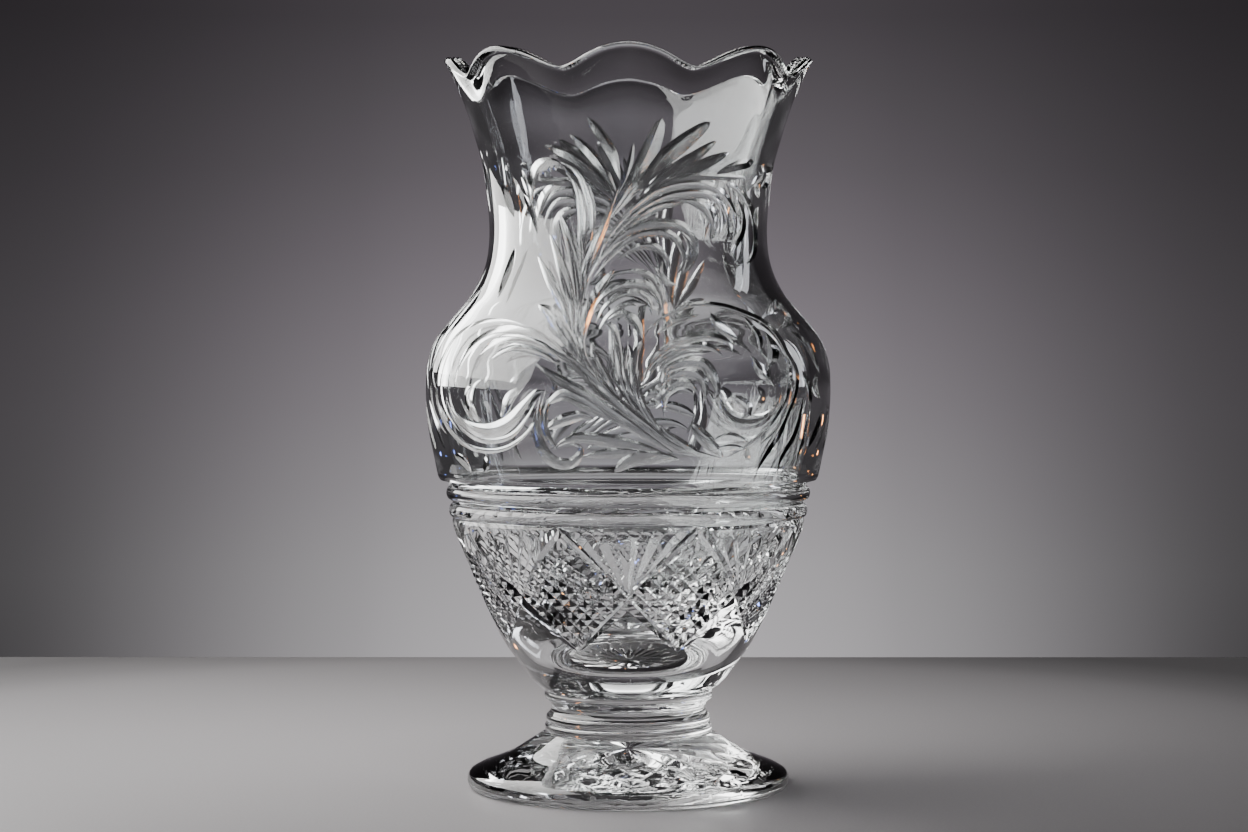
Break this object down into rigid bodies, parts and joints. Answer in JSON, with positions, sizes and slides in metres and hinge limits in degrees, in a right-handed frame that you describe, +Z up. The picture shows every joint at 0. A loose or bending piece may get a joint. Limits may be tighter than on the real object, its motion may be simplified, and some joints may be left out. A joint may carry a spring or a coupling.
{
  "type": "vase",
  "caption": "Footed cut crystal vase with a scalloped lip, a flared neck, a round belly over a beaded band and a lattice of diamonds, and a spread foot.",
  "frame": {"origin": "centre of the foot's underside, on the surface that the vase stands on", "axes": "+Z up along the vase's axis, from the foot to the mouth; a crest of the lip faces -Y, the front"},
  "size_m": [0.1666, 0.1666, 0.3],
  "materials": {
    "bowl_crystal": "polished cut lead crystal, leaves left satin",
    "stem_crystal": "fire polished lead crystal",
    "foot_crystal": "polished lead crystal, star cut underneath"
  },
  "bodies": {
    "root": {"bowl": "bowl_crystal", "upper_merese": "stem_crystal", "stem": "stem_crystal", "lower_merese": "stem_crystal", "foot": "foot_crystal"}
  },
  "joints": []
}
